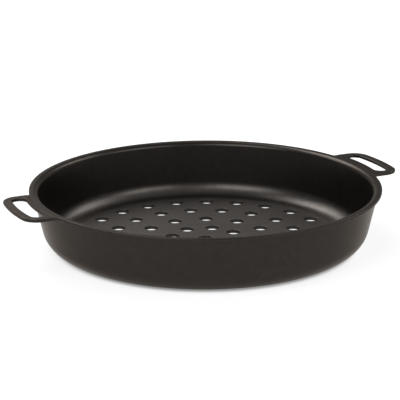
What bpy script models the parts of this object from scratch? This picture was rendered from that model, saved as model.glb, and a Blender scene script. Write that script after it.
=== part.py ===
"""Round grill pan with a perforated floor and two slotted handles at its rim.

Metres, +Z up. The origin is the middle of the resting face, and +X runs out along the right handle.
"""
import math

import bmesh
import bpy
from mathutils import Matrix, Vector

# Turned body
RIM_RADIUS = 0.150
HEIGHT = 0.0505
WALL = 0.0042
FLOOR = 0.003
WALL_LEAN = math.radians(12.85)
CORNER_RADIUS = 0.0199
LIP_OVERHANG = 0.0027
LIP_DEPTH = 0.0025
LIP_EDGE = 0.0006
LIP_INNER_ROUND = 0.005
LIP_UNDER_FILLET = 0.0008

# Holes in the floor: one in the middle and rings round it, inner ring first
HOLE_RADIUS = 0.0058
HOLE_CHAMFER = 0.0005
HOLE_MARGIN = 0.0062
INNER_RING_RADIUS = 0.029
RING_COUNTS = (8, 12, 18, 24)
RING_STAGGERS = (0.09, 0.0, 0.5, 0.0)
PATTERN_TURN = math.radians(4.5)

# Handle plates
HANDLE_REACH = 0.0242
HANDLE_WIDTH = 0.071
HANDLE_THICKNESS = 0.0028
HANDLE_RISE = 0.0006
HANDLE_CORNER = 0.014
HANDLE_BAR = 0.0073
HANDLE_WEB = 0.0046
HANDLE_EDGE = 0.0008
ROOT_FILLET = 0.005
ROOT_LAND = 0.0012
SEAT_GAP = 0.0003

# Faces on round shapes
BODY_SIDES = 96
HOLE_SIDES = 12
CORNER_STEPS = 6
EDGE_STEPS = 2
INNER_ROUND_STEPS = 4
HANDLE_ARC_STEPS = 7
HANDLE_CORNER_STEPS = 6
ROOT_STEPS = 5
SLOT_END_STEPS = 8
SEAT_STEPS = 16

SHARP_ANGLE = math.radians(40)
TINY = 1e-6


def arc(centre, radius, start, end, steps):
    """Points along a circular arc, both ends included."""
    points = []
    for step in range(steps + 1):
        angle = start + (end - start) * step / steps
        points.append((centre[0] + radius * math.cos(angle), centre[1] + radius * math.sin(angle)))
    return points


def outer_wall(height):
    """Radius of the wall's outer face at a height."""
    return RIM_RADIUS - LIP_OVERHANG - (HEIGHT - height) * math.tan(WALL_LEAN)


def inner_wall(height):
    """Radius of the wall's inner face at a height."""
    return outer_wall(height) - WALL / math.cos(WALL_LEAN)


def corner_centre(base_height, radius, wall):
    """Centre of the round between a flat at base_height and a leaning wall."""
    height = base_height + radius
    return (wall(height) - radius / math.cos(WALL_LEAN), height)


def floor_radius():
    """Radius where the inside of the floor stops being flat."""
    return corner_centre(FLOOR, CORNER_RADIUS - WALL, inner_wall)[0]


def body_profile():
    """Half section of the pan from the resting face, up the outside, over the lip and down inside."""
    outside = corner_centre(0, CORNER_RADIUS, outer_wall)
    points = arc(outside, CORNER_RADIUS, -math.pi / 2, -WALL_LEAN, CORNER_STEPS)

    lip_bottom = HEIGHT - LIP_DEPTH
    fillet_height = lip_bottom - LIP_UNDER_FILLET
    fillet = (outer_wall(fillet_height) + LIP_UNDER_FILLET / math.cos(WALL_LEAN), fillet_height)
    points += arc(fillet, LIP_UNDER_FILLET, math.pi - WALL_LEAN, math.pi / 2, EDGE_STEPS)

    edge_radius = RIM_RADIUS - LIP_EDGE
    points += arc((edge_radius, lip_bottom + LIP_EDGE), LIP_EDGE, -math.pi / 2, 0, EDGE_STEPS)
    points += arc((edge_radius, HEIGHT - LIP_EDGE), LIP_EDGE, 0, math.pi / 2, EDGE_STEPS)

    round_height = HEIGHT - LIP_INNER_ROUND
    inner_round = (inner_wall(round_height) + LIP_INNER_ROUND / math.cos(WALL_LEAN), round_height)
    points += arc(inner_round, LIP_INNER_ROUND, math.pi / 2, math.pi - WALL_LEAN, INNER_ROUND_STEPS)

    inside_radius = CORNER_RADIUS - WALL
    inside = corner_centre(FLOOR, inside_radius, inner_wall)
    points += arc(inside, inside_radius, -WALL_LEAN, -math.pi / 2, CORNER_STEPS)
    return points


def hole_centres():
    """Middle hole and rings of holes, spread evenly out to the margin by the corner round."""
    outer_ring = floor_radius() - HOLE_MARGIN - HOLE_RADIUS
    pitch = (outer_ring - INNER_RING_RADIUS) / (len(RING_COUNTS) - 1)
    centres = [(0.0, 0.0)]
    for ring, (count, stagger) in enumerate(zip(RING_COUNTS, RING_STAGGERS)):
        radius = INNER_RING_RADIUS + ring * pitch
        for number in range(count):
            angle = PATTERN_TURN + (number + stagger) * math.tau / count
            centres.append((radius * math.cos(angle), radius * math.sin(angle)))
    return centres


def seat_radius():
    """Radius of the face by which a handle sits against the lip."""
    return RIM_RADIUS + SEAT_GAP


def handle_outline():
    """Plan of a handle plate along +X: a concentric outer bar, round corners and flared roots."""
    outer_radius = RIM_RADIUS + HANDLE_REACH
    half_width = HANDLE_WIDTH / 2
    corner_y = half_width - HANDLE_CORNER
    corner_x = math.sqrt((outer_radius - HANDLE_CORNER) ** 2 - corner_y ** 2)
    corner_angle = math.atan2(corner_y, corner_x)

    root_distance = seat_radius() + ROOT_LAND + ROOT_FILLET
    root_y = half_width + ROOT_FILLET
    root_x = math.sqrt(root_distance ** 2 - root_y ** 2)
    root_angle = math.atan2(root_y, root_x)

    half = arc((0, 0), outer_radius, 0, corner_angle, HANDLE_ARC_STEPS)[:-1]
    half += arc((corner_x, corner_y), HANDLE_CORNER, corner_angle, math.pi / 2, HANDLE_CORNER_STEPS)
    half += arc((root_x, root_y), ROOT_FILLET, 3 * math.pi / 2, math.pi + root_angle, ROOT_STEPS)
    other_half = [(x, -y) for x, y in reversed(half[1:])]
    seat = arc((0, 0), seat_radius(), root_angle, -root_angle, SEAT_STEPS)
    return half + seat + other_half


def slot_limits():
    """Inner and outer radius of the finger slot."""
    return RIM_RADIUS + HANDLE_WEB, RIM_RADIUS + HANDLE_REACH - HANDLE_BAR


def slot_outline():
    """Plan of the finger slot: two concentric sides and full round ends."""
    inner, outer = slot_limits()
    middle = (inner + outer) / 2
    end_radius = (outer - inner) / 2
    end_angle = math.asin((HANDLE_WIDTH / 2 - HANDLE_BAR - end_radius) / middle)
    end = (middle * math.cos(end_angle), middle * math.sin(end_angle))
    half = arc((0, 0), inner, 0, end_angle, HANDLE_ARC_STEPS)[:-1]
    half += arc(end, end_radius, math.pi + end_angle, end_angle, SLOT_END_STEPS)
    half += arc((0, 0), outer, end_angle, 0, HANDLE_ARC_STEPS)[1:]
    other_half = [(x, -y) for x, y in reversed(half[1:-1])]
    return half + other_half


def iron(name, colour, roughness):
    """Dark cast iron with a satin seasoned skin."""
    material = bpy.data.materials.new(name)
    material.use_nodes = True
    shader = material.node_tree.nodes["Principled BSDF"]
    shader.inputs["Base Color"].default_value = (*colour, 1)
    shader.inputs["Roughness"].default_value = roughness
    shader.inputs["Metallic"].default_value = 0.35
    return material


def body_iron():
    return iron("pan_body_iron", (0.035, 0.031, 0.028), 0.45)


def handle_iron():
    return iron("handle_iron", (0.045, 0.040, 0.036), 0.50)


def add_object(name, mesh, parent, material):
    """Links a mesh under the pan's origin with its material."""
    obj = bpy.data.objects.new(name, mesh)
    bpy.context.scene.collection.objects.link(obj)
    obj.parent = parent
    if not mesh.materials:
        mesh.materials.append(material)
    return obj


def turned_mesh(name, profile):
    """Spins a half section about Z and closes the two flat middles."""
    build = bmesh.new()
    points = [build.verts.new((radius, 0, height)) for radius, height in profile]
    edges = [build.edges.new(pair) for pair in zip(points, points[1:])]
    bmesh.ops.spin(
        build,
        geom=points + edges,
        axis=(0, 0, 1),
        cent=(0, 0, 0),
        angle=math.tau,
        steps=BODY_SIDES,
        use_merge=True,
    )
    bmesh.ops.remove_doubles(build, verts=build.verts, dist=TINY)
    bmesh.ops.holes_fill(build, edges=build.edges, sides=0)
    bmesh.ops.recalc_face_normals(build, faces=build.faces)
    return finish_mesh(name, build)


def finish_mesh(name, build):
    """Turns a bmesh into a mesh with smooth curved faces and sharp flat ones."""
    mesh = bpy.data.meshes.new(name)
    build.to_mesh(mesh)
    build.free()
    mesh.shade_smooth()
    mesh.set_sharp_from_angle(angle=SHARP_ANGLE)
    return mesh


def add_hole_cutter(build, x, y):
    """Closed drill shape: straight through the floor, with its upper end flaring at 45 degrees."""
    flare_radius = HOLE_RADIUS + 2 * HOLE_CHAMFER
    sections = ((HOLE_RADIUS, -FLOOR), (HOLE_RADIUS, FLOOR - HOLE_CHAMFER), (flare_radius, FLOOR + HOLE_CHAMFER))
    rings = []
    for radius, height in sections:
        place = Matrix.Translation((x, y, height))
        made = bmesh.ops.create_circle(build, segments=HOLE_SIDES, radius=radius, matrix=place)
        rings.append(made["verts"])
    for lower, upper in zip(rings, rings[1:]):
        for side in range(HOLE_SIDES):
            after = (side + 1) % HOLE_SIDES
            build.faces.new((lower[side], lower[after], upper[after], upper[side]))
    build.faces.new(reversed(rings[0]))
    build.faces.new(rings[-1])


def add_hole_cutters(parent):
    """One drill shape for each hole in the floor."""
    build = bmesh.new()
    for x, y in hole_centres():
        add_hole_cutter(build, x, y)
    mesh = bpy.data.meshes.new("hole_cutters")
    build.to_mesh(mesh)
    build.free()
    cutters = bpy.data.objects.new("hole_cutters", mesh)
    bpy.context.scene.collection.objects.link(cutters)
    cutters.parent = parent
    cutters.hide_render = True
    cutters.display_type = "WIRE"
    return cutters


def add_body(parent):
    """Turned pan with its floor pierced by the rings of holes."""
    body = add_object("pan_body", turned_mesh("pan_body", body_profile()), parent, body_iron())
    pierce = body.modifiers.new("holes", "BOOLEAN")
    pierce.operation = "DIFFERENCE"
    pierce.solver = "EXACT"
    pierce.object = add_hole_cutters(parent)
    return body


def add_loop(build, outline, height):
    """Closed loop of edges at one height."""
    points = [build.verts.new((x, y, height)) for x, y in outline]
    return [build.edges.new(pair) for pair in zip(points, points[1:] + points[:1])]


def is_handle_rim(edge):
    """True for the plate's outer and slot edges, and not for those by the seat."""
    if len(edge.link_faces) != 2:
        return False
    if abs(edge.link_faces[0].normal.z) > 0.5 and abs(edge.link_faces[1].normal.z) > 0.5:
        return False
    if abs(edge.verts[0].co.z - edge.verts[1].co.z) > TINY:
        return False
    seat_limit = seat_radius() + ROOT_LAND + TINY
    return any(vert.co.xy.length > seat_limit for vert in edge.verts)


def handle_mesh():
    """Slotted plate that stands a little above the lip, with its free edges rounded."""
    build = bmesh.new()
    bottom = HEIGHT + HANDLE_RISE - HANDLE_THICKNESS
    edges = add_loop(build, handle_outline(), bottom) + add_loop(build, slot_outline(), bottom)
    bmesh.ops.triangle_fill(build, use_beauty=True, edges=edges, normal=(0, 0, 1))
    raised = bmesh.ops.extrude_face_region(build, geom=build.faces[:])["geom"]
    top = [item for item in raised if isinstance(item, bmesh.types.BMVert)]
    bmesh.ops.translate(build, verts=top, vec=Vector((0, 0, HANDLE_THICKNESS)))
    bmesh.ops.recalc_face_normals(build, faces=build.faces)
    bmesh.ops.bevel(
        build,
        geom=[edge for edge in build.edges if is_handle_rim(edge)],
        offset=HANDLE_EDGE,
        segments=EDGE_STEPS,
        profile=0.5,
        affect="EDGES",
        clamp_overlap=True,
    )
    return finish_mesh("handle", build)


def add_handles(parent):
    """Two alike plates on opposite sides of the lip."""
    mesh = handle_mesh()
    material = handle_iron()
    for name, turn in (("right_handle", 0), ("left_handle", math.pi)):
        handle = add_object(name, mesh, parent, material)
        handle.rotation_euler.z = turn


def main():
    for obj in list(bpy.data.objects):
        bpy.data.objects.remove(obj, do_unlink=True)
    origin = bpy.data.objects.new("pan_origin", None)
    bpy.context.scene.collection.objects.link(origin)
    add_body(origin)
    add_handles(origin)


main()
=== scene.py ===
import math

import bmesh
import bpy
from mathutils import Matrix, Vector
from mathutils.geometry import delaunay_2d_cdt


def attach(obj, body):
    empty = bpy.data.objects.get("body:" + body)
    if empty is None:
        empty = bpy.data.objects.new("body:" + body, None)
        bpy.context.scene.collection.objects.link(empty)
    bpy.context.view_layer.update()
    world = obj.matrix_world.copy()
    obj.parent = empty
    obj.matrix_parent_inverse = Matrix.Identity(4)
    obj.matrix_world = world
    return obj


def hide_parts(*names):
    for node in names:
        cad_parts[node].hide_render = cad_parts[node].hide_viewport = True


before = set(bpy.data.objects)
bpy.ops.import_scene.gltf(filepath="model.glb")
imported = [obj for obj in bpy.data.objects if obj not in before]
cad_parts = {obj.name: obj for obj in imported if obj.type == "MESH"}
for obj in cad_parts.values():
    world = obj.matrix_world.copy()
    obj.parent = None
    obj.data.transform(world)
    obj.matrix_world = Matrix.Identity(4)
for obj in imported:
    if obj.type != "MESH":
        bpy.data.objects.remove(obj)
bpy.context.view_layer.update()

# Pan, in metres, as in the solids
RIM_RADIUS = 0.150
HEIGHT = 0.0505
WALL = 0.0042
FLOOR = 0.003
WALL_LEAN = math.radians(12.85)
CORNER_RADIUS = 0.0199
LIP_OVERHANG = 0.0027
LIP_DEPTH = 0.0025
LIP_EDGE = 0.0006
LIP_INNER_ROUND = 0.005
LIP_UNDER_FILLET = 0.0008

# Holes in the floor
HOLE_RADIUS = 0.0058
HOLE_TOP_ROUND = 0.0005
HOLE_BOTTOM_ROUND = 0.0003
HOLE_MARGIN = 0.0062
INNER_RING_RADIUS = 0.029
RING_COUNTS = (8, 12, 18, 24)
RING_STAGGERS = (0.09, 0.0, 0.5, 0.0)
PATTERN_TURN = math.radians(4.5)

# Handle plates
HANDLE_REACH = 0.0242
HANDLE_WIDTH = 0.071
HANDLE_THICKNESS = 0.0028
HANDLE_RISE = 0.0006
HANDLE_CORNER = 0.014
HANDLE_BAR = 0.0073
HANDLE_WEB = 0.0046
HANDLE_EDGE = 0.0008
ROOT_FILLET = 0.005

# Where a handle runs into the lip: how far it reaches in, how little its top dives and where it climbs
ROOT_SINK = 0.00004
SEAT_DEPTH = 0.0024
HANDLE_SEAT = RIM_RADIUS - SEAT_DEPTH
DIVE_DEPTH = 0.00001
DIVE_RUN = 0.0008
CLIMB_RUN = 0.004

# Fineness of the meshes
BODY_SIDES = 360
CORNER_STEPS = 28
EDGE_STEPS = 8
INNER_ROUND_STEPS = 12
WALL_STEPS = 6
HOLE_SIDES = 48
HOLE_ROUND_STEPS = 5
FLAT_BAND = 0.0003
HANDLE_ARC_STEPS = 28
HANDLE_CORNER_STEPS = 24
ROOT_STEPS = 16
SLOT_END_STEPS = 24
SEAT_STEPS = 40
CLIMB_RINGS = 12
CLIMB_SPOKES = 120
CLIMB_CLEARANCE = 0.0003
WELD_DISTANCE = 0.000001
TRIANGLES_INSIDE = 1

# The side of an arc that the metal lies on
METAL_WITHIN = 1
METAL_BEYOND = -1

# Iron: the darker and the lighter tone of each zone, gloss and metal
WALL_TONES = ((0.0290, 0.0256, 0.0232), (0.0370, 0.0327, 0.0295))
# The corner round's lighter tones are a painted highlight: the bright band that the softboxes make on the
# round
CORNER_HIGHLIGHT_TONES = ((0.0620, 0.0568, 0.0530), (0.0780, 0.0715, 0.0667))
# The flat floor's lighter tones are worn iron and partly painted light, as the upward-facing floor is lit
# from above
FLOOR_WEAR_AND_LIGHT_TONES = ((0.0493, 0.0451, 0.0421), (0.0616, 0.0564, 0.0526))
SPECULAR_LEVEL = 0.4
SPECULAR_TINT = (0.64, 0.60, 0.565)
METALLIC_FROM_WALL_TO_FLOOR = (0.85, 0.5)
GRAIN_ROUGHNESS = (0.27, 0.35)
PATCH_ROUGHNESS = (-0.02, 0.02)
CORNER_ROUGHENING = 0.06
FLOOR_ROUGHENING = 0.09

# Noises of the iron: scale, detail and roughness, with the depth of the relief that each makes
PATCHES = (22.0, 3.0, 0.5)
MOTTLE = (160.0, 4.0, 0.6)
GRAIN = (1100.0, 4.0, 0.6)
TOOTH = (3200.0, 2.0, 0.5)
PATCH_RELIEF = 0.0002
MOTTLE_RELIEF = 0.00003
GRAIN_RELIEF = 0.000015
TOOTH_RELIEF = 0.000005
NOISE_SPREAD = (0.3, 0.7)
PATCH_TONE = (0.5, 1.0)

# Ranges over which the iron's zones fade: heights, the Z part of the surface's direction, distances
# Near the floor the corner tone drops to a share of itself: a painted shade, a darker crease where the
# floor meets the wall
CORNER_FOOT = (FLOOR + 0.0002, FLOOR + 0.0035)
CORNER_TOP = (FLOOR + 0.0035, FLOOR + 0.0115)
CREASE_SHADE_SHARE = 0.4
FACING_INWARD = (0.05, 0.2)
FACING_UP = (0.92, 0.99)
FLOOR_END = (0.1175, 0.1245)

# Camera: a pinhole fitted to the rim, the wall, the holes and the handles
CAMERA_DISTANCE = 1.4
CAMERA_AZIMUTH = math.radians(-24.9)
CAMERA_ELEVATION = math.radians(16.18)
CAMERA_PITCH = math.radians(16.715)
CAMERA_YAW = math.radians(-0.20)
CAMERA_ROLL = math.radians(0.25)
SENSOR = 36.0
FOCAL_PIXELS = 1641.5
FRAME_PIXELS = 400.0

# Studio: where they are seen, floor and world are white far off and dimmer near the pan and overhead
WHITE = (1.0, 1.0, 1.0)
WORLD_FILL = 0.06
WORLD_CEILING = 0.3
HORIZON = (0.03, 0.14)
STUDIO_RADIUS = 9.0
STUDIO_SIDES = 64
STUDIO_DROP = 0.0001
STUDIO_TONE = (0.3, 0.3, 0.3)
GLOW_NEAR = 0.8
GLOW_REACH = (0.2, 0.7)
# Painted contact shadow: a ring of dimmer glow on the floor along the line where the pan rests
CONTACT_RADIUS = 0.1215
CONTACT_SHADE = 0.35
CONTACT_BLUR = (0.004, 0.0095)

# Softboxes: degrees clockwise from the camera's side, degrees up, width and depth in metres, watts
SOFTBOX_DISTANCE = 1.6
SOFTBOXES = (
    ("rear_softbox", 214, 44, 1.2, 0.85, 13.5),
    ("rear_glint_softbox", 210, 46, 0.45, 0.45, 4.0),
    ("left_softbox", 325, 52, 1.0, 0.75, 12.2),
    ("right_softbox", 57, 45, 1.0, 0.5, 7.2),
    ("right_rear_softbox", 126, 38, 0.9, 0.5, 7.6),
)

# Sockets of a mix node that carry its two colours and its result
MIX_FIRST = 6
MIX_SECOND = 7
MIX_RESULT = 2


def arc(centre, radius, start, end, steps):
    """Points along a circular arc, both ends included."""
    points = []
    for step in range(steps + 1):
        angle = start + (end - start) * step / steps
        points.append((centre[0] + radius * math.cos(angle), centre[1] + radius * math.sin(angle)))
    return points


def between(start, end, steps):
    """Points that divide a straight line, ends left out."""
    return [
        (start[0] + (end[0] - start[0]) * step / steps, start[1] + (end[1] - start[1]) * step / steps)
        for step in range(1, steps)
    ]


def outer_wall(height):
    """Radius of the wall's outside at a height."""
    return RIM_RADIUS - LIP_OVERHANG - (HEIGHT - height) * math.tan(WALL_LEAN)


def inner_wall(height):
    """Radius of the wall's inside at a height."""
    return outer_wall(height) - WALL / math.cos(WALL_LEAN)


def corner_centre(base_height, radius, wall):
    """Centre of the round between a flat base and a leaning wall."""
    height = base_height + radius
    return (wall(height) - radius / math.cos(WALL_LEAN), height)


def floor_radius():
    return corner_centre(FLOOR, CORNER_RADIUS - WALL, inner_wall)[0]


def body_profile():
    """Half section from the resting face, up the outside, over the lip and down inside to the floor."""
    outside = corner_centre(0, CORNER_RADIUS, outer_wall)
    points = [(outside[0] - FLAT_BAND, 0.0)]
    points += arc(outside, CORNER_RADIUS, -math.pi / 2, -WALL_LEAN, CORNER_STEPS)

    lip_bottom = HEIGHT - LIP_DEPTH
    fillet_height = lip_bottom - LIP_UNDER_FILLET
    fillet = (outer_wall(fillet_height) + LIP_UNDER_FILLET / math.cos(WALL_LEAN), fillet_height)
    under = arc(fillet, LIP_UNDER_FILLET, math.pi - WALL_LEAN, math.pi / 2, EDGE_STEPS)
    points += between(points[-1], under[0], WALL_STEPS) + under

    edge_radius = RIM_RADIUS - LIP_EDGE
    points += arc((edge_radius, lip_bottom + LIP_EDGE), LIP_EDGE, -math.pi / 2, 0, EDGE_STEPS)
    points += arc((edge_radius, HEIGHT - LIP_EDGE), LIP_EDGE, 0, math.pi / 2, EDGE_STEPS)
    points.append((edge_radius - FLAT_BAND, HEIGHT))

    round_height = HEIGHT - LIP_INNER_ROUND
    inner_round = (inner_wall(round_height) + LIP_INNER_ROUND / math.cos(WALL_LEAN), round_height)
    points += arc(inner_round, LIP_INNER_ROUND, math.pi / 2, math.pi - WALL_LEAN, INNER_ROUND_STEPS)

    inside_radius = CORNER_RADIUS - WALL
    inside = corner_centre(FLOOR, inside_radius, inner_wall)
    corner = arc(inside, inside_radius, -WALL_LEAN, -math.pi / 2, CORNER_STEPS)
    points += between(points[-1], corner[0], WALL_STEPS) + corner
    points.append((inside[0] - FLAT_BAND, FLOOR))
    return points


def hole_profile():
    """Half section of one hole, from the flat round its top down to the flat round its bottom."""
    top_edge = HOLE_RADIUS + HOLE_TOP_ROUND
    top_centre = (top_edge, FLOOR - HOLE_TOP_ROUND)
    bottom_edge = HOLE_RADIUS + HOLE_BOTTOM_ROUND
    bottom_centre = (bottom_edge, HOLE_BOTTOM_ROUND)
    points = [(top_edge + FLAT_BAND, FLOOR)]
    points += arc(top_centre, HOLE_TOP_ROUND, math.pi / 2, math.pi, HOLE_ROUND_STEPS)
    points += arc(bottom_centre, HOLE_BOTTOM_ROUND, math.pi, 3 * math.pi / 2, HOLE_ROUND_STEPS)
    points.append((bottom_edge + FLAT_BAND, 0.0))
    return points


def hole_centres():
    """The middle hole and the rings around it."""
    outer_ring = floor_radius() - HOLE_MARGIN - HOLE_RADIUS
    pitch = (outer_ring - INNER_RING_RADIUS) / (len(RING_COUNTS) - 1)
    centres = [(0.0, 0.0)]
    for ring, (count, stagger) in enumerate(zip(RING_COUNTS, RING_STAGGERS)):
        radius = INNER_RING_RADIUS + ring * pitch
        for number in range(count):
            angle = PATTERN_TURN + (number + stagger) * math.tau / count
            centres.append((radius * math.cos(angle), radius * math.sin(angle)))
    return centres


def join(build, rings):
    """Quads between neighbouring closed rings of as many points."""
    for lower, upper in zip(rings, rings[1:]):
        for number in range(len(lower)):
            after = (number + 1) % len(lower)
            build.faces.new((lower[number], lower[after], upper[after], upper[number]))


def loop_edges(build, ring):
    return [build.edges.get((ring[number - 1], ring[number])) for number in range(len(ring))]


def turned(build, profile, sides, x=0.0, y=0.0):
    """Turns a half section about an upright axis and returns the edges of its first and last ring."""
    rings = []
    for radius, height in profile:
        ring = []
        for side in range(sides):
            angle = math.tau * side / sides
            place = (x + radius * math.cos(angle), y + radius * math.sin(angle), height)
            ring.append(build.verts.new(place))
        rings.append(ring)
    join(build, rings)
    return loop_edges(build, rings[0]), loop_edges(build, rings[-1])


def fill(build, edges):
    """Flat face, in triangles, between an outer loop and the loops inside it."""
    bmesh.ops.triangle_fill(build, use_beauty=True, edges=edges, normal=(0, 0, 1))


def add_object(name, data):
    obj = bpy.data.objects.new(name, data)
    bpy.context.scene.collection.objects.link(obj)
    return obj


def piece(name, build, material, *nodes):
    """Turns a bmesh into a finished piece that stands for CAD nodes."""
    bmesh.ops.recalc_face_normals(build, faces=build.faces)
    mesh = bpy.data.meshes.new(name)
    build.to_mesh(mesh)
    build.free()
    mesh.shade_smooth()
    mesh.materials.append(material)
    obj = add_object(name, mesh)
    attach(obj, "root")
    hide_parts(*nodes)


def make_body(material):
    """Turned pan with rounded holes through its floor."""
    build = bmesh.new()
    bottom, top = turned(build, body_profile(), BODY_SIDES)
    for x, y in hole_centres():
        hole_top, hole_bottom = turned(build, hole_profile(), HOLE_SIDES, x, y)
        top += hole_top
        bottom += hole_bottom
    fill(build, top)
    fill(build, bottom)
    piece("pan_body_iron", build, material, "pan_body")


def facing_arc(centre, radius, start, end, steps, side):
    """Arc points, each with the direction out of the metal, which lies within the circle or beyond it."""
    found = []
    for x, y in arc(centre, radius, start, end, steps):
        found.append((x, y, side * (x - centre[0]) / radius, side * (y - centre[1]) / radius))
    return found


def mirrored(half):
    return [(x, -y, out_x, -out_y) for x, y, out_x, out_y in reversed(half)]


def handle_outline():
    """Plan of a handle along +X, whose roots run tangent into the lip."""
    outer_radius = RIM_RADIUS + HANDLE_REACH
    half_width = HANDLE_WIDTH / 2
    corner_y = half_width - HANDLE_CORNER
    corner_x = math.sqrt((outer_radius - HANDLE_CORNER) ** 2 - corner_y ** 2)
    corner = (corner_x, corner_y)
    corner_angle = math.atan2(corner_y, corner_x)

    root_distance = RIM_RADIUS + ROOT_FILLET - ROOT_SINK
    root_y = half_width + ROOT_FILLET
    root_x = math.sqrt(root_distance ** 2 - root_y ** 2)
    root = (root_x, root_y)
    root_angle = math.atan2(root_y, root_x)
    root_end = math.pi + root_angle

    half = facing_arc((0, 0), outer_radius, 0, corner_angle, HANDLE_ARC_STEPS, METAL_WITHIN)[:-1]
    half += facing_arc(corner, HANDLE_CORNER, corner_angle, math.pi / 2, HANDLE_CORNER_STEPS, METAL_WITHIN)
    half += facing_arc(root, ROOT_FILLET, 3 * math.pi / 2, root_end, ROOT_STEPS, METAL_BEYOND)
    seat = facing_arc((0, 0), HANDLE_SEAT, root_angle, -root_angle, SEAT_STEPS, METAL_BEYOND)
    return half + seat + mirrored(half[1:])


def slot_outline():
    """Plan of the finger slot, which follows the lip and ends in full rounds."""
    inner = RIM_RADIUS + HANDLE_WEB
    outer = RIM_RADIUS + HANDLE_REACH - HANDLE_BAR
    middle = (inner + outer) / 2
    end_radius = (outer - inner) / 2
    end_angle = math.asin((HANDLE_WIDTH / 2 - HANDLE_BAR - end_radius) / middle)
    end = (middle * math.cos(end_angle), middle * math.sin(end_angle))
    half = facing_arc((0, 0), inner, 0, end_angle, HANDLE_ARC_STEPS, METAL_WITHIN)[:-1]
    half += facing_arc(end, end_radius, math.pi + end_angle, end_angle, SLOT_END_STEPS, METAL_BEYOND)
    half += facing_arc((0, 0), outer, end_angle, 0, HANDLE_ARC_STEPS, METAL_BEYOND)[1:]
    return half + mirrored(half[1:-1])


def edge_section():
    """Rounded edge of a plate from underside to top: distances in, heights and shares of the lift."""
    bottom = HEIGHT + HANDLE_RISE - HANDLE_THICKNESS
    quarter = [math.pi / 2 * step / EDGE_STEPS for step in range(EDGE_STEPS + 1)]
    section = [(HANDLE_EDGE + FLAT_BAND, bottom, 0)]
    for angle in quarter:
        inset = HANDLE_EDGE * (1 - math.sin(angle))
        section.append((inset, bottom + HANDLE_EDGE * (1 - math.cos(angle)), 0))
    for angle in quarter:
        inset = HANDLE_EDGE * (1 - math.cos(angle))
        section.append((inset, HEIGHT - HANDLE_EDGE * (1 - math.sin(angle)), 1))
    section.append((HANDLE_EDGE + FLAT_BAND, HEIGHT, 1))
    return section


def clamped(share):
    return min(max(share, 0.0), 1.0)


def lift(radius):
    """Height of a handle's top over the rim: it dives a hair under the lip's flat, then climbs softly."""
    dived = clamped((RIM_RADIUS - LIP_EDGE - radius) / DIVE_RUN)
    climbed = clamped((radius - RIM_RADIUS) / CLIMB_RUN)
    return HANDLE_RISE * climbed * climbed * (3 - 2 * climbed) - DIVE_DEPTH * dived


def edge_band(build, outline, turn):
    """Rounded side of a plate along an outline. Returns its lowest and highest ring."""
    rings = []
    for inset, height, lifted in edge_section():
        ring = []
        for x, y, out_x, out_y in outline:
            point = Vector((x - out_x * inset, y - out_y * inset, height))
            point.z += lifted * lift(point.xy.length)
            ring.append(build.verts.new(turn @ point))
        rings.append(ring)
    join(build, rings)
    return rings[0], rings[-1]


def climb_grid():
    """Points of an even grid that covers the part of a handle's top which climbs."""
    start = HANDLE_SEAT + HANDLE_EDGE
    half_turn = math.asin((HANDLE_WIDTH / 2 + ROOT_FILLET) / RIM_RADIUS)
    points = []
    for ring in range(CLIMB_RINGS + 1):
        radius = start + (RIM_RADIUS + CLIMB_RUN - start) * ring / CLIMB_RINGS
        for spoke in range(CLIMB_SPOKES + 1):
            angle = half_turn * (2 * spoke / CLIMB_SPOKES - 1)
            points.append(Vector((radius * math.cos(angle), radius * math.sin(angle), 0.0)))
    return points


def fill_climbing(build, outline, slot, turn):
    """Top of a plate between its outline and its slot, in even triangles near the lip, where it climbs."""
    border = outline + slot
    border_places = [vert.co.xy for vert in border]
    places = list(border_places)
    for point in climb_grid():
        place = (turn @ point).xy
        if min((place - edge).length for edge in border_places) > CLIMB_CLEARANCE:
            places.append(place)

    # A triangle that both loops enclose lies in the slot
    plate_loop = list(range(len(outline)))
    slot_loop = list(reversed(range(len(outline), len(border))))
    found = delaunay_2d_cdt(places, [], [plate_loop, slot_loop], TRIANGLES_INSIDE, WELD_DISTANCE)
    _, _, triangles, vert_sources, _, loops_around = found
    verts = {}
    for triangle, loops in zip(triangles, loops_around):
        if len(loops) > 1:
            continue
        for number in triangle:
            if number in verts:
                continue
            source = min(vert_sources[number])
            if source < len(border):
                verts[number] = border[source]
            else:
                x, y = places[source]
                verts[number] = build.verts.new((x, y, HEIGHT + lift(math.hypot(x, y))))
        build.faces.new([verts[number] for number in triangle])


def make_handle(name, node, angle, material):
    """Slotted plate that grows out of the lip and is rounded on every free edge."""
    build = bmesh.new()
    turn = Matrix.Rotation(angle, 3, "Z")
    bottom, top = edge_band(build, handle_outline(), turn)
    slot_bottom, slot_top = edge_band(build, slot_outline(), turn)
    fill(build, loop_edges(build, bottom) + loop_edges(build, slot_bottom))
    fill_climbing(build, top, slot_top, turn)
    piece(name, build, material, node)


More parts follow.
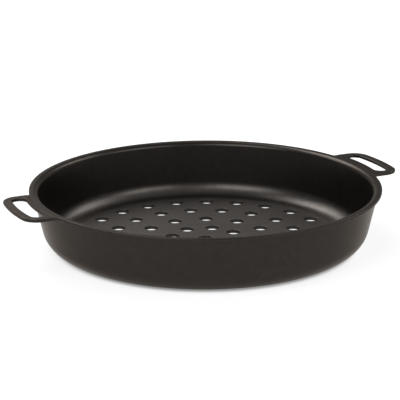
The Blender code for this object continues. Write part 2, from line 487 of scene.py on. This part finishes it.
class Graph:
    """Short calls to wire the nodes of a material or the world."""

    def __init__(self, tree):
        self.tree = tree

    def feed(self, node, values):
        """Gives each named socket of a node a link or a number or colour of its own."""
        for name, value in values.items():
            socket = node.inputs[name]
            if isinstance(value, bpy.types.NodeSocket):
                self.tree.links.new(value, socket)
            elif isinstance(value, tuple):
                socket.default_value = (*value, 1)
            else:
                socket.default_value = value

    def node(self, kind, **settings):
        made = self.tree.nodes.new(kind)
        for key, value in settings.items():
            setattr(made, key, value)
        return made

    def upright(self, vector):
        """Z part of a vector."""
        made = self.node("ShaderNodeSeparateXYZ")
        self.feed(made, {"Vector": vector})
        return made.outputs["Z"]

    def length(self, vector):
        made = self.node("ShaderNodeVectorMath", operation="LENGTH")
        self.feed(made, {0: vector})
        return made.outputs["Value"]

    def noise(self, place, scale, detail, roughness):
        made = self.node("ShaderNodeTexNoise")
        self.feed(made, {"Vector": place, "Scale": scale, "Detail": detail, "Roughness": roughness})
        return made.outputs["Fac"]

    def remap(self, value, source, target=(0.0, 1.0)):
        """Carries a value from one range to another and holds it at the ends."""
        made = self.node("ShaderNodeMapRange")
        self.feed(made, {"Value": value, "From Min": source[0], "From Max": source[1]})
        self.feed(made, {"To Min": target[0], "To Max": target[1]})
        return made.outputs["Result"]

    def math(self, operation, *values):
        made = self.node("ShaderNodeMath", operation=operation)
        self.feed(made, dict(enumerate(values)))
        return made.outputs["Value"]

    def total(self, first, second):
        return self.math("ADD", first, second)

    def product(self, first, second):
        return self.math("MULTIPLY", first, second)

    def mix(self, factor, first, second):
        made = self.node("ShaderNodeMix", data_type="RGBA")
        self.feed(made, {"Factor": factor, MIX_FIRST: first, MIX_SECOND: second})
        return made.outputs[MIX_RESULT]

    def bump(self, height, distance, normal):
        made = self.node("ShaderNodeBump")
        self.feed(made, {"Height": height, "Distance": distance})
        if normal:
            self.feed(made, {"Normal": normal})
        return made.outputs["Normal"]


def new_material(name):
    """Material, the graph to wire it with and its shader."""
    material = bpy.data.materials.new(name)
    material.use_nodes = True
    return material, Graph(material.node_tree), material.node_tree.nodes["Principled BSDF"]


def iron_zones(graph):
    """Shares of the two lighter zones in the pan: its corner round, whose tone is a painted highlight with
    a painted shade at its foot, and its flat floor, whose tone is worn iron and partly painted light from
    above.
    """
    coordinates = graph.node("ShaderNodeTexCoord")
    place = coordinates.outputs["Object"]
    height = graph.upright(place)
    facing = graph.upright(coordinates.outputs["Normal"])
    # Painted shade: the corner's foot keeps only a share of its lighter tone, a darker crease above the
    # floor
    crease_shade = graph.remap(height, CORNER_FOOT, (CREASE_SHADE_SHARE, 1.0))
    below_top = graph.remap(height, CORNER_TOP, (1.0, 0.0))
    inside = graph.remap(facing, FACING_INWARD)
    on_corner = graph.product(graph.product(crease_shade, below_top), inside)
    on_floor = graph.product(
        graph.remap(facing, FACING_UP),
        graph.remap(graph.length(place), FLOOR_END, (1.0, 0.0)),
    )
    return on_corner, on_floor


def iron_relief(graph, fields):
    """Stacked relief of several noises, each with its depth."""
    relief = None
    for field, depth in fields:
        relief = graph.bump(field, depth, relief)
    return relief


def make_iron():
    """Seasoned cast iron: near black, satin, with the fine grain of the mould under a baked oil skin, a
    painted highlight on its corner round with a painted shade at the foot, and a worn floor partly painted
    light.
    """
    material, graph, shader = new_material("seasoned_iron")
    place = graph.node("ShaderNodeTexCoord").outputs["Object"]
    patches = graph.noise(place, *PATCHES)
    mottle = graph.noise(place, *MOTTLE)
    grain = graph.noise(place, *GRAIN)
    tooth = graph.noise(place, *TOOTH)
    on_corner, on_floor = iron_zones(graph)

    tone = graph.product(
        graph.remap(mottle, NOISE_SPREAD),
        graph.remap(patches, NOISE_SPREAD, PATCH_TONE),
    )
    walls = graph.mix(tone, *WALL_TONES)
    # Painted highlight on the corner round, with a painted shade at its foot through on_corner
    corner = graph.mix(tone, *CORNER_HIGHLIGHT_TONES)
    # Floor tone: worn iron, partly painted light from above
    floor = graph.mix(tone, *FLOOR_WEAR_AND_LIGHT_TONES)
    colour = graph.mix(on_floor, graph.mix(on_corner, walls, corner), floor)

    rough = graph.total(
        graph.remap(patches, NOISE_SPREAD, PATCH_ROUGHNESS),
        graph.remap(grain, NOISE_SPREAD, GRAIN_ROUGHNESS),
    )
    rubbed = graph.total(
        graph.product(on_corner, CORNER_ROUGHENING),
        graph.product(on_floor, FLOOR_ROUGHENING),
    )
    depths = (PATCH_RELIEF, MOTTLE_RELIEF, GRAIN_RELIEF, TOOTH_RELIEF)
    graph.feed(shader, {
        "Base Color": colour,
        "Metallic": graph.remap(on_floor, (0.0, 1.0), METALLIC_FROM_WALL_TO_FLOOR),
        "Roughness": graph.total(rough, rubbed),
        "Specular IOR Level": SPECULAR_LEVEL,
        "Specular Tint": SPECULAR_TINT,
        "Normal": iron_relief(graph, zip((patches, mottle, grain, tooth), depths)),
    })
    return material


def background_rays(graph):
    """1 for the rays that see the backdrop itself: from the camera, a gloss or through glass."""
    rays = graph.node("ShaderNodeLightPath").outputs
    seen = graph.math("MAXIMUM", rays["Is Camera Ray"], rays["Is Glossy Ray"])
    return graph.math("MAXIMUM", seen, rays["Is Transmission Ray"])


def make_floor_material():
    """Matt floor that shows white, dims a little near the pan and carries a painted contact shadow, a dark
    ring along its contact line.
    """
    material, graph, shader = new_material("studio_floor")
    reach = graph.length(graph.node("ShaderNodeTexCoord").outputs["Object"])
    glow = graph.remap(reach, GLOW_REACH, (GLOW_NEAR, 1.0))
    # Painted contact shadow: the glow drops in a ring round the pan's contact line
    off_contact = graph.math("ABSOLUTE", graph.math("SUBTRACT", reach, CONTACT_RADIUS))
    shade = graph.remap(off_contact, CONTACT_BLUR, (CONTACT_SHADE, 1.0))
    graph.feed(shader, {
        "Base Color": STUDIO_TONE,
        "Roughness": 1.0,
        "Specular IOR Level": 0.0,
        "Emission Color": WHITE,
        "Emission Strength": graph.product(background_rays(graph), graph.product(glow, shade)),
    })
    return material


def make_floor():
    """Round studio floor, a hair under the pan."""
    bpy.ops.mesh.primitive_circle_add(
        vertices=STUDIO_SIDES, radius=STUDIO_RADIUS, fill_type="NGON", location=(0, 0, -STUDIO_DROP)
    )
    floor = bpy.context.object
    floor.name = "studio_floor"
    floor.data.materials.append(make_floor_material())


def make_world():
    """Even fill light, and a backdrop that is white at the horizon and dimmer above."""
    world = bpy.data.worlds.new("studio")
    bpy.context.scene.world = world
    world.use_nodes = True
    graph = Graph(world.node_tree)
    upward = graph.upright(graph.node("ShaderNodeTexCoord").outputs["Generated"])
    backdrop = graph.remap(upward, HORIZON, (1.0 - WORLD_FILL, WORLD_CEILING - WORLD_FILL))
    strength = graph.total(graph.product(background_rays(graph), backdrop), WORLD_FILL)
    graph.feed(world.node_tree.nodes["Background"], {"Color": WHITE, "Strength": strength})


def view_frame(right, away, up):
    """Point or direction given as seen from the camera's side: to its right, away from it and up."""
    return Matrix.Rotation(CAMERA_AZIMUTH, 3, "Z") @ Vector((right, away, up))


def make_softbox(name, azimuth, elevation, width, depth, power):
    """Rectangular lamp that faces the pan."""
    data = bpy.data.lights.new(name, "AREA")
    data.shape = "RECTANGLE"
    data.size = width
    data.size_y = depth
    data.energy = power
    around = math.radians(azimuth)
    level = SOFTBOX_DISTANCE * math.cos(math.radians(elevation))
    up = SOFTBOX_DISTANCE * math.sin(math.radians(elevation))
    place = view_frame(level * math.sin(around), -level * math.cos(around), up)
    light = add_object(name, data)
    light.location = place
    light.rotation_euler = (-place).to_track_quat("-Z", "Y").to_euler()


def make_camera():
    """Pinhole camera at the photo's viewpoint, with its pitch, yaw and roll."""
    data = bpy.data.cameras.new("camera")
    data.sensor_width = SENSOR
    data.lens = FOCAL_PIXELS / FRAME_PIXELS * SENSOR
    forward = view_frame(
        math.sin(CAMERA_YAW) * math.cos(CAMERA_PITCH),
        math.cos(CAMERA_YAW) * math.cos(CAMERA_PITCH),
        -math.sin(CAMERA_PITCH),
    )
    level = forward.cross(Vector((0, 0, 1))).normalized()
    right = Matrix.Rotation(CAMERA_ROLL, 3, forward) @ level
    turn = Matrix((right, right.cross(forward), -forward)).transposed()
    back = CAMERA_DISTANCE * math.cos(CAMERA_ELEVATION)
    up = CAMERA_DISTANCE * math.sin(CAMERA_ELEVATION)
    camera = add_object("camera", data)
    camera.location = Vector((0, 0, HEIGHT)) + view_frame(0, -back, up)
    camera.rotation_euler = turn.to_euler()
    bpy.context.scene.camera = camera


def main():
    make_camera()
    iron = make_iron()
    make_body(iron)
    make_handle("right_handle_iron", "right_handle", 0.0, iron)
    make_handle("left_handle_iron", "left_handle", math.pi, iron)
    make_floor()
    make_world()
    for softbox in SOFTBOXES:
        make_softbox(*softbox)
    bpy.context.scene.view_settings.view_transform = "Standard"


main()
